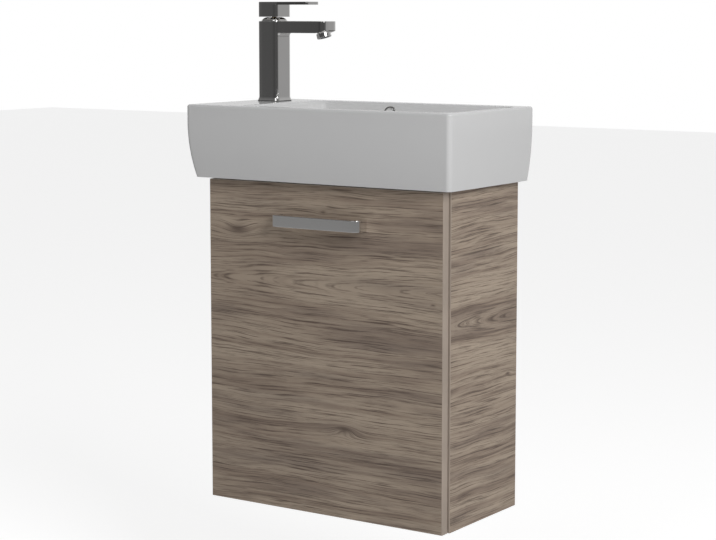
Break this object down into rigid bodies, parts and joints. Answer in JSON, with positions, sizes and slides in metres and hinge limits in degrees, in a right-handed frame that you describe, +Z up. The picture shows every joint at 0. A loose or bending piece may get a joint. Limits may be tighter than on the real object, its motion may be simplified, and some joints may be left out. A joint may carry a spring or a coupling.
{
  "type": "wall-hung vanity unit with basin",
  "caption": "Narrow wall-hung vanity: a rectangular ceramic hand basin with a tap deck on its left, a single-lever mixer, and a one-door wood-effect cabinet with a bow handle.",
  "frame": {"origin": "midway between the basin's two wall bolts, on the wall plane at the rear of the unit", "axes": "+X to the right as seen from the front, +Y towards the wall, +Z up"},
  "size_m": [0.5, 0.25, 0.812],
  "materials": {
    "oak_board": "grey-brown oak melamine on chipboard",
    "oak_edge": "ABS edge band printed as oak",
    "white_ceramic": "white glaze",
    "chrome_plate": "polished chrome",
    "zinc": "zinc-plated or nickel-plated pressing",
    "steel": "bright zinc-plated steel",
    "brass": "machined brass",
    "rubber": "black rubber",
    "clear_stop": "soft clear bumper",
    "white_plastic": "white polypropylene",
    "grey_plastic": "grey engineering plastic",
    "beech": "plain beech"
  },
  "bodies": {
    "cabinet_and_basin": {"aerator_housing": "chrome_plate", "aerator_insert": "grey_plastic", "assembly_dowels": "beech", "back_panel": "oak_board", "basin": "white_ceramic", "bottom_panel": "oak_board", "cam_bolts": "steel", "cam_housings": "zinc", "carcass_edge_bands": "oak_edge", "cartridge_nut": "brass", "hinge_arm_pins": "steel", "hinge_arms": "zinc", "hinge_clamp_screws": "steel", "hinge_mounting_plates": "zinc", "hinge_plate_screws": "steel", "horseshoe_seal": "rubber", "horseshoe_washer": "steel", "left_side_panel": "oak_board", "overflow_ring": "chrome_plate", "plug_guide": "grey_plastic", "right_side_panel": "oak_board", "sealing_strip": "rubber", "shelf": "oak_board", "shelf_pins": "zinc", "tap_body": "chrome_plate", "tap_cartridge": "grey_plastic", "tap_dome": "chrome_plate", "tap_foot_seal": "rubber", "tap_stud": "brass", "tap_stud_nut": "brass", "top_front_rail": "oak_board", "top_rear_rail": "oak_board", "trap_body": "white_plastic", "trap_cup": "white_plastic", "trap_inlet_nut": "white_plastic", "trap_inlet_tube": "white_plastic", "trap_outlet_nut": "white_plastic", "trap_outlet_pipe": "white_plastic", "trap_slide_nut": "white_plastic", "trap_washers": "rubber", "waste_back_nut": "brass", "waste_body": "chrome_plate", "waste_seals": "rubber"},
    "hinge_outer_links": {"hinge_links": "zinc"},
    "door": {"door_panel": "oak_board", "door_edge_bands": "oak_edge", "handle": "chrome_plate", "handle_screws": "steel", "door_bumpers": "clear_stop", "hinge_cups": "zinc", "hinge_cup_pins": "steel", "hinge_cup_screws": "steel"},
    "tap_turn": {"tap_turn_ring": "grey_plastic"},
    "tap_lever": {"tap_lever": "chrome_plate", "tap_spindle": "steel", "lever_screw": "steel", "lever_screw_cover": "chrome_plate"},
    "waste_plug": {"waste_plug": "chrome_plate", "plug_seal": "rubber"}
  },
  "joints": [
    {"name": "link_swing", "type": "hinge", "parent": "cabinet_and_basin", "child": "hinge_outer_links", "pos_m": [-0.1973, -0.2006, -0.296], "axis": [0, 0, 1], "range_deg": [0, 44]},
    {"name": "door_swing", "type": "hinge", "parent": "hinge_outer_links", "child": "door", "pos_m": [-0.213, -0.21, -0.296], "axis": [0, 0, -1], "range_deg": [0, 144]},
    {"name": "tap_turn", "type": "hinge", "parent": "cabinet_and_basin", "child": "tap_turn", "pos_m": [-0.205, -0.068, 0.21], "axis": [0, 0, 1], "range_deg": [-45, 35]},
    {"name": "lever_lift", "type": "hinge", "parent": "tap_turn", "child": "tap_lever", "pos_m": [-0.205, -0.068, 0.216], "axis": [0, -1, 0], "range_deg": [0, 18]},
    {"name": "plug_slide", "type": "slide", "parent": "cabinet_and_basin", "child": "waste_plug", "axis": [0, 0, 1], "range_m": [0, 0.008]}
  ],
  "couplings": [
    {"joint": "link_swing", "follows": "door_swing", "ratio": 0.3055}
  ]
}
